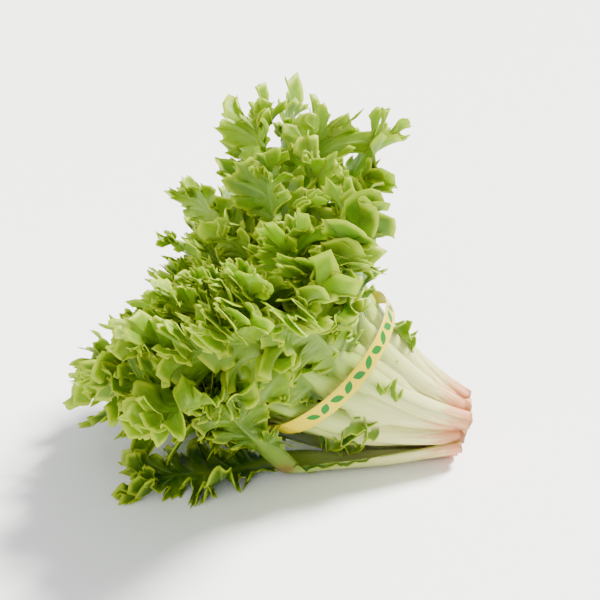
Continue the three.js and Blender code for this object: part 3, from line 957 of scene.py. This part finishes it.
class EndiveColours(PropertyGroup):
    # Bright blade and deep blade are partly the leaf's own greens and partly painted light: the sunlit and
    # the shaded green of a blade.
    bright: colour_property("Bright blade", "Sunlit, younger parts of a blade", "#96b600")
    # Deep blade is partly a darker green of the leaf and partly painted shade, which the blade takes near
    # its base deep in the head.
    deep_and_shade: colour_property("Deep blade", "Older, darker parts of a blade", "#164c02")
    underside: colour_property("Underside", "Outer face of a leaf", "#6f9a26")
    margin: colour_property("Margin", "Tips of the teeth", "#d4e22a")
    vein: colour_property("Veins", "Lateral veins", "#abc266")
    glow: colour_property("Light through", "Colour of light that passes through a blade", "#a6d400")
    stalk: colour_property("Stalk", "Blanched lower stalk", "#ddd894")
    stalk_green: colour_property("Upper stalk", "Stalk near the blade", "#a4bd48")
    blush: colour_property("Blush", "Pinkish tint near the cut", "#d48a60")
    cut: colour_property("Cut", "Browned cut edge", "#9a6238")
    paper: colour_property("Band", "Paper band", "#cab400")
    paper_pale: colour_property("Band highlight", "Paler parts of the band", "#d4be00")
    ink: colour_property("Print", "Green print on the band", "#0f6a1c")


class EndiveSizes(PropertyGroup):
    tooth: length_property("Tooth", "Length of a large tooth", 6.8, 0)
    fold: slope_property("Fold", "Largest slope of the broad folds", 26)
    wave: slope_property("Wave", "Largest slope of a lobe's waves", 42)
    frill: slope_property("Frill", "Largest slope of the margin's frill", 58)
    band_width: length_property("Band width", "Width of the paper band", 12.7, 5)
    band_lap: length_property("Band lap", "Overlap of the band's ends", 16, 5)
    motif_length: length_property("Motif", "Length of a printed leaf shape", 9.0, 1)
    motif_count: IntProperty(name="Motifs", description="Printed leaf shapes on the band", default=26, min=1)


def leaf_shape(sizes, i, rank, rays):
    """How the i-th leaf is cut, ruffled and bent."""

    def spread(salt, low, high):
        return lerp(low, high, vary(i, salt))

    return SimpleNamespace(
        rays=rays,
        stalk_rays=STALK_RAYS if rank > LONG_STALK else SHORT_STALK_RAYS,
        lobes=round(spread(3, 4.6, 6.4)),
        parts=spread(21, 2.8, 3.4),
        teeth=spread(20, 2.9, 3.6),
        fan=spread(19, 0.5, 1.1),
        cut=spread(4, 0.5, 0.7),
        part_cut=spread(5, 0.26, 0.42),
        tooth=sizes.tooth * lerp(0.6, 1.0, rank) * spread(6, 0.85, 1.15),
        wing=max(0.3, spread(7, -5.0, 15.0)),
        fold=sizes.fold * spread(8, 0.7, 1.15),
        fold_rate=spread(9, 0.8, 1.3),
        wave=sizes.wave * spread(10, 0.8, 1.15),
        frill=sizes.frill * spread(11, 0.8, 1.2),
        roll_over=spread(12, 2.0, 4.0) * lerp(0.6, 1, rank),
        cup=spread(13, -0.4, 0.5),
        sway=spread(14, -16, 16),
        twist=spread(15, -0.7, 0.7),
        tip_curl=spread(16, -12, 16),
        wobble=spread(17, 2.0, 6.0),
        ridges=spread(18, 3.5, 5.5),
    )


def calm_down(shape, share):
    """Flattens a leaf that stands up freely: broad lobes, less ruffle, a straight tip."""
    for name in ("fold", "wave", "frill", "tip_curl", "cup", "twist"):
        setattr(shape, name, getattr(shape, name) * (1 - 0.6 * share))
    shape.cut *= 1 - 0.4 * share


def make_leaf(node, leaf, shape, seed, material):
    """Makes the leaf that stands for the solid of that name."""
    shell = leaf_shell(leaf, shape, seed)
    piece = mesh_object("curly_" + node, shell.vertices, shell.faces, shell.attributes, shell.uv)
    finish_piece(piece, node, material)


# ---- Operators ----
class ENDIVE_OT_stem(Operator):
    """Make the short stem with its cut end"""

    bl_idname = "endive.stem"
    bl_label = "Stem"

    SIDES = 72
    RINGS = 14
    CUT_RINGS = 9
    BULGE = 0.8  # how far the middle of the cut stands out
    BARK = CORE_RADIUS_BUTT - 3  # how the side is coloured: as the cut is at this radius

    def execute(self, context):
        psi = np.arange(self.SIDES) / self.SIDES * 2 * math.pi
        knobbly = 1 + 0.03 * np.sin(5 * psi) + 0.02 * np.sin(11 * psi + 1)
        centre = head_point(np.linspace(0, CORE_LENGTH, self.RINGS + 1), 0.0, 0.0)[:, None, :]
        side = centre + (core_grid(self.RINGS, self.SIDES) - centre) * knobbly[None, :, None]
        cut_rings = []
        for share in np.linspace(0.02, 0.97, self.CUT_RINGS):
            depth = self.BULGE * (share**2 - 1) + 0.25 * np.sin(7 * psi + 9 * share)
            flat = centre[0] + (side[0] - centre[0]) * share
            cut_rings.append(flat + head_direction(BUTT_TILT, depth, 0.0, psi))
        tip = centre[-1] + (side[-1] - centre[-1]) * 0.05
        grid = np.concatenate([np.array(cut_rings), side, tip[None]])
        faces = tube_faces(len(grid), self.SIDES)
        radius = np.linalg.norm(grid - centre[0], axis=2)
        radius[self.CUT_RINGS :] = self.BARK
        piece = mesh_object("cut_stem", grid.reshape(-1, 3) + OFFSET, faces, {"radius_mm": radius.ravel()})
        colours = context.scene.endive_colours
        finish_piece(piece, "stem_core", cut_stem("cut stem end", colours))
        return {"FINISHED"}


class ENDIVE_OT_held_leaves(Operator):
    """Make the leaves that the band holds, from the outermost to the heart"""

    bl_idname = "endive.held_leaves"
    bl_label = "Held leaves"

    def execute(self, context):
        sizes, colours = context.scene.endive_sizes, context.scene.endive_colours
        green = made(fresh_leaf, "fresh endive leaf", colours, 0.0)
        heart = made(fresh_leaf, "blanched heart leaf", colours, 0.22)
        for i in range(LEAF_COUNT):
            tier, first = [t for t in TIERS if t[1] <= i][-1]
            leaf = held_leaf(i)
            rays = int(lerp(*BLADE_RAYS, min(1.0, leaf.rank * 1.5)))
            shape = leaf_shape(sizes, i, leaf.rank, rays)
            calm_down(shape, tallness(leaf.azimuth) * smooth(leaf.rank * 2 - 1))
            inner = tier in ("inner_leaf", "heart_leaf")
            slot, material = ("heart_leaf", heart) if inner else ("leaf", green)
            make_leaf(f"{tier}_{i - first + 1:02d}", leaf, shape, i + 1, material)
        return {"FINISHED"}


class ENDIVE_OT_loose_leaves(Operator):
    """Make the loose outer leaves that lie under the bundle"""

    bl_idname = "endive.loose_leaves"
    bl_label = "Loose leaves"

    FIRST_NUMBER = 60  # of the values that set its shape, past those of the held leaves
    FIRST_SEED = 101

    def execute(self, context):
        sizes, colours = context.scene.endive_sizes, context.scene.endive_colours
        green = made(fresh_leaf, "fresh endive leaf", colours, 0.0)
        for i, given in enumerate(LOOSE_LEAVES):
            leaf = SimpleNamespace(**{**LOOSE_COMMON, **given}, tone=vary(i, 20))
            leaf.blade *= LOOSE_WIDER
            leaf.surface = LooseSurface(leaf)
            shape = leaf_shape(sizes, self.FIRST_NUMBER + i, 1.0, BLADE_RAYS[1])
            shape.tip_curl, shape.sway, shape.twist = 0.0, 0.0, 0.0
            make_leaf(f"loose_leaf_{i + 1:02d}", leaf, shape, self.FIRST_SEED + i, green)
        return {"FINISHED"}


def band_point(psi, along, out):
    """A point on the band: along its width, and out from its inner face, in millimetres."""
    station = BAND_STATION - BAND_SKEW * np.cos(psi) + along * math.cos(BAND_SLOPE)
    return head_point(station, BAND_RADIUS + along * math.sin(BAND_SLOPE) + out, psi)


def crumple(psi):
    """The band's slight waves, in and out."""
    return 0.10 * np.sin(psi * 9) * np.sin(psi * 4 + 1)


class ENDIVE_OT_band(Operator):
    """Make the paper band and the small leaf shapes printed on it"""

    bl_idname = "endive.band"
    bl_label = "Paper band"

    LAP_AT = math.radians(127)
    THICK = 0.3
    SECTIONS = 260
    WIDTH_SHARES = np.array([-1, -0.97, -0.5, 0, 0.5, 0.97, 1.0])
    EDGE = 0.98  # past this share of the half width the paper thins to its edge
    PRINT_FROM = math.radians(-150)
    PRINT_TO = math.radians(104)
    PRINT_LIFT = 0.012
    PRINT_LEAN = 0.62
    PRINT_WIDTH = 0.56  # of its length
    PRINT_THICK = 0.02

    def lay(self, psi):
        """How far the band is lifted where its outer end lies on its inner one."""
        lap_start = self.LAP_AT + 2 * math.pi - self.lap * 1.3
        return 0.05 + 0.42 * smooth((psi - lap_start) / (self.lap * 0.4))

    def execute(self, context):
        sizes, colours = context.scene.endive_sizes, context.scene.endive_colours
        self.lap = sizes.band_lap / BAND_RADIUS
        ends = self.LAP_AT - self.lap, self.LAP_AT + 2 * math.pi
        psi, share = np.meshgrid(np.linspace(*ends, self.SECTIONS), self.WIDTH_SHARES, indexing="ij")
        along = share * (0.5 * sizes.band_width)
        at_edge = np.abs(share) > self.EDGE
        out = self.lay(psi) + crumple(psi) - 0.1 * at_edge
        inner = band_point(psi, along, out)
        outer = band_point(psi, along, out + self.THICK - 0.12 * at_edge)
        ring = np.concatenate([inner, outer[:, ::-1]], axis=1)
        faces = tube_faces(*ring.shape[:2])
        strip = mesh_object("printed_band", ring.reshape(-1, 3) + OFFSET, faces)
        paper = coated_paper("coated yellow paper", colours.paper, colours.paper_pale)
        finish_piece(strip, "paper_band", paper)

        marks = self.motifs(sizes, coated_paper("green printing ink", colours.ink, colours.ink))
        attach(marks, "root")
        return {"FINISHED"}

    def motifs(self, sizes, ink):
        """The printed shapes, set along the band by geometry nodes."""
        psi = np.linspace(self.PRINT_FROM, self.PRINT_TO, sizes.motif_count)
        lift = self.lay(psi) + self.THICK + crumple(psi)
        points = band_point(psi, 0.0, lift + self.PRINT_LIFT) + OFFSET
        ahead = unit(band_point(psi + 0.01, 0.0, lift) - band_point(psi - 0.01, 0.0, lift))
        over = unit(band_point(psi, 0.5, lift) - band_point(psi, -0.5, lift))
        outward = unit(np.cross(over, ahead))
        away = points - (head_point(BAND_STATION, 0.0, psi) + OFFSET)
        outward = outward * np.sign(np.sum(outward * away, axis=1))[:, None]
        lean = np.where(np.arange(len(psi)) % 2, 1.0, -1.0)[:, None] * self.PRINT_LEAN
        forward = ahead * np.cos(lean) + over * np.sin(lean)

        mesh = bpy.data.meshes.new("motif_places")
        mesh.from_pydata((points * MM).tolist(), [], [])
        for name, values in (("outward", outward), ("forward", forward)):
            attribute = mesh.attributes.new(name, "FLOAT_VECTOR", "POINT")
            attribute.data.foreach_set("vector", values.astype(np.float32).ravel())
        holder = new_object("motif_places", mesh)
        modifier = holder.modifiers.new("Printed leaves", "NODES")
        modifier.node_group = self.motif_tree(ink)
        length = sizes.motif_length * MM
        given = {"Length": length, "Width": length * self.PRINT_WIDTH, "Thickness": self.PRINT_THICK * MM}
        for item in modifier.node_group.interface.items_tree:
            if item.name in given:
                modifier[item.identifier] = given[item.name]
        holder.update_tag()
        bpy.context.view_layer.update()
        evaluated = holder.evaluated_get(bpy.context.evaluated_depsgraph_get())
        flat = bpy.data.meshes.new_from_object(evaluated)
        flat.name = "band_print"
        bpy.data.objects.remove(holder)
        return new_object("band_print", flat)

    def motif_tree(self, ink):
        """Sets a small printed leaf on each point, facing its outward and turned to its forward."""
        tree = bpy.data.node_groups.new("Printed leaf row", "GeometryNodeTree")
        node = partial(add, tree)
        face = tree.interface
        face.new_socket("Geometry", in_out="INPUT", socket_type="NodeSocketGeometry")
        for name in ("Length", "Width", "Thickness"):
            face.new_socket(name, in_out="INPUT", socket_type="NodeSocketFloat")
        face.new_socket("Geometry", in_out="OUTPUT", socket_type="NodeSocketGeometry")
        given = node("NodeGroupInput").outputs
        disc = node("GeometryNodeMeshCylinder", {"Vertices": 16, "Radius": 1.0, "Depth": 1.0})
        part = node("ShaderNodeSeparateXYZ", (node("GeometryNodeInputPosition"),)).outputs
        # A circle's y times its own size gives a lens with two pointed ends.
        y_size = node("ShaderNodeMath", (part["Y"],), operation="ABSOLUTE")
        lens = node("ShaderNodeMath", (part["Y"], y_size), operation="MULTIPLY")
        half_length = node("ShaderNodeMath", (given["Length"], 0.5), operation="MULTIPLY")
        half_width = node("ShaderNodeMath", (given["Width"], 0.5), operation="MULTIPLY")
        sizes = ((part["X"], half_length), (lens, half_width), (part["Z"], given["Thickness"]))
        sides = [node("ShaderNodeMath", pair, operation="MULTIPLY") for pair in sizes]
        shaped = node("ShaderNodeCombineXYZ", sides)
        leaf = node("GeometryNodeSetPosition", {"Geometry": disc, "Position": shaped})
        outward, forward = (
            node("GeometryNodeInputNamedAttribute", {"Name": name}, data_type="FLOAT_VECTOR")
            for name in ("outward", "forward")
        )
        facing = node("FunctionNodeAlignRotationToVector", {"Vector": outward}, axis="Z")
        turned = node(
            "FunctionNodeAlignRotationToVector",
            {"Rotation": facing, "Vector": forward},
            axis="X",
            pivot_axis="Z",
        )
        rows = node(
            "GeometryNodeInstanceOnPoints",
            {"Points": given["Geometry"], "Instance": leaf, "Rotation": turned},
        )
        real = node("GeometryNodeRealizeInstances", {"Geometry": rows})
        inked = node("GeometryNodeSetMaterial", {"Geometry": real, "Material": ink})
        node("NodeGroupOutput", (inked,))
        return tree


def add_light(name, kind, place, strength, **settings):
    """A light that shines from its place towards the head."""
    lamp = bpy.data.lights.new(name, kind)
    lamp.energy = strength
    for key, value in settings.items():
        setattr(lamp, key, value)
    towards = Vector((0.0, 0.0, 0.1)) - Vector(place)
    holder = new_object(name, lamp)
    holder.location = place
    holder.rotation_euler = towards.to_track_quat("-Z", "Y").to_euler()


class ENDIVE_OT_stage(Operator):
    """Make the pale floor, the soft light and the camera"""

    bl_idname = "endive.stage"
    bl_label = "Stage"

    FLOOR_HALF = 6.0
    WORLD_COLOUR = (0.95, 0.98, 1.0)
    WORLD_STRENGTH = 0.9
    WINDOW_COLOUR = (1.0, 0.98, 0.93)
    FOCAL_LENGTH = 85
    ELEVATION = math.radians(25)
    DISTANCE = 0.906
    AIM = Vector((0.021, 0.024, 0.091))

    def execute(self, context):
        corners = np.array([[-1.0, -1, 0], [1, -1, 0], [1, 1, 0], [-1, 1, 0]]) * self.FLOOR_HALF / MM
        floor = mesh_object("pale_floor", corners, np.array([[0, 1, 2, 3]]))
        paint, node = new_material("matt white paint")
        skin = node("ShaderNodeBsdfPrincipled", {"Base Color": rgb("#fcfcfc"), "Roughness": 0.7})
        node("ShaderNodeOutputMaterial", {"Surface": skin})
        floor.data.materials.append(paint)

        world = bpy.data.worlds.new("soft white room")
        world.use_nodes = True
        back = world.node_tree.nodes["Background"]
        back.inputs["Color"].default_value = (*self.WORLD_COLOUR, 1.0)
        back.inputs["Strength"].default_value = self.WORLD_STRENGTH
        context.scene.world = world

        sun = {"angle": math.radians(16), "color": self.WINDOW_COLOUR}
        add_light("window", "SUN", (0.75, 0.55, 1.15), 16, **sun)
        add_light("fill", "AREA", (-0.6, -1.3, 0.8), 12, shape="DISK", size=1.2)

        lens = bpy.data.cameras.new("camera")
        lens.lens = self.FOCAL_LENGTH
        camera = new_object("camera", lens)
        back_and_up = Vector((0, -math.cos(self.ELEVATION), math.sin(self.ELEVATION)))
        camera.location = self.AIM + self.DISTANCE * back_and_up
        camera.rotation_euler = (math.pi / 2 - self.ELEVATION, 0, 0)
        context.scene.camera = camera
        return {"FINISHED"}


class ENDIVE_PT_head(Panel):
    """Lists the steps that build the head"""

    bl_idname = "ENDIVE_PT_head"
    bl_label = "Curly endive"
    bl_space_type = "VIEW_3D"
    bl_region_type = "UI"
    bl_category = "Endive"

    def draw(self, context):
        column = self.layout.column(align=True)
        for step in STEPS:
            column.operator(step.bl_idname)
        for group in (context.scene.endive_sizes, context.scene.endive_colours):
            for name in group.__annotations__:
                self.layout.prop(group, name)


STEPS = [
    ENDIVE_OT_stage,
    ENDIVE_OT_stem,
    ENDIVE_OT_held_leaves,
    ENDIVE_OT_loose_leaves,
    ENDIVE_OT_band,
]
CLASSES = [EndiveColours, EndiveSizes, *STEPS, ENDIVE_PT_head]


def register():
    for item in CLASSES:
        bpy.utils.register_class(item)
    bpy.types.Scene.endive_colours = PointerProperty(type=EndiveColours)
    bpy.types.Scene.endive_sizes = PointerProperty(type=EndiveSizes)


def unregister():
    del bpy.types.Scene.endive_colours
    del bpy.types.Scene.endive_sizes
    for item in reversed(CLASSES):
        bpy.utils.unregister_class(item)


def main():
    register()
    for step in STEPS:
        group, name = step.bl_idname.split(".")
        getattr(getattr(bpy.ops, group), name)()
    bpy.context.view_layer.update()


if __name__ == "__main__":
    main()
